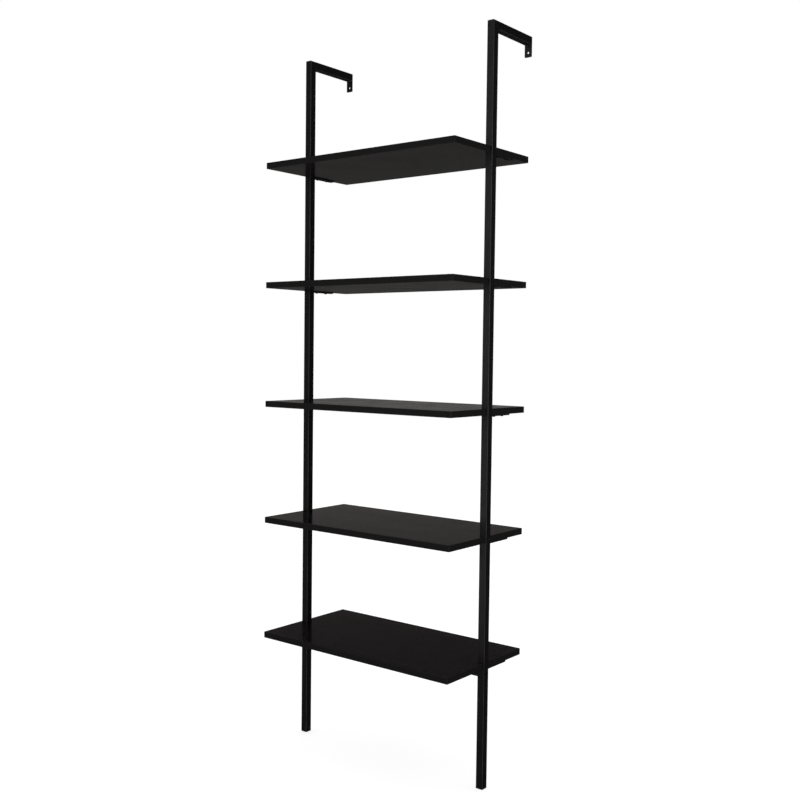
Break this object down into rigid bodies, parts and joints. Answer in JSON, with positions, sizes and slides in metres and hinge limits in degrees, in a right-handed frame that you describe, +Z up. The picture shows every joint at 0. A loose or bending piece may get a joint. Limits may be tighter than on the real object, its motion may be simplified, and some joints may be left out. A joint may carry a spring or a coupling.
{
  "type": "ladder shelf",
  "caption": "Tall wall-mounted ladder shelf: black boards notched around slim square steel uprights with wall tabs at the top.",
  "frame": {"origin": "on the floor, in the middle of the overall width and depth", "axes": "+X to the right seen from the front, +Y towards the wall, +Z up"},
  "size_m": [0.6216, 0.323, 1.868],
  "materials": {
    "black_laminate_board": "semi-gloss black laminate on particle board",
    "black_powder_coat": "satin black powder coat on steel",
    "black_screw": "black-finished steel screws",
    "black_foot_plastic": "matte black plastic",
    "zinc_steel": "bare zinc-plated steel, hidden inside the tubes"
  },
  "bodies": {
    "root": {"bottom_shelf": "black_laminate_board", "bottom_shelf_bracket_left": "black_powder_coat", "bottom_shelf_bracket_right": "black_powder_coat", "crossbar": "black_powder_coat", "crossbar_bolts": "black_screw", "crossbar_end_plugs": "zinc_steel", "foot_cap_left": "black_foot_plastic", "foot_cap_right": "black_foot_plastic", "joint_sleeve_left": "zinc_steel", "joint_sleeve_right": "zinc_steel", "lower_shelf": "black_laminate_board", "lower_shelf_bracket_left": "black_powder_coat", "lower_shelf_bracket_right": "black_powder_coat", "lower_upright_left": "black_powder_coat", "lower_upright_right": "black_powder_coat", "middle_shelf": "black_laminate_board", "middle_shelf_bracket_left": "black_powder_coat", "middle_shelf_bracket_right": "black_powder_coat", "shelf_screws": "black_screw", "top_arm_left": "black_powder_coat", "top_arm_right": "black_powder_coat", "top_shelf": "black_laminate_board", "top_shelf_bracket_left": "black_powder_coat", "top_shelf_bracket_right": "black_powder_coat", "upper_shelf": "black_laminate_board", "upper_shelf_bracket_left": "black_powder_coat", "upper_shelf_bracket_right": "black_powder_coat", "upper_upright_left": "black_powder_coat", "upper_upright_right": "black_powder_coat", "upright_joint_screws": "black_screw", "wall_tab_left": "black_powder_coat", "wall_tab_right": "black_powder_coat"}
  },
  "joints": []
}
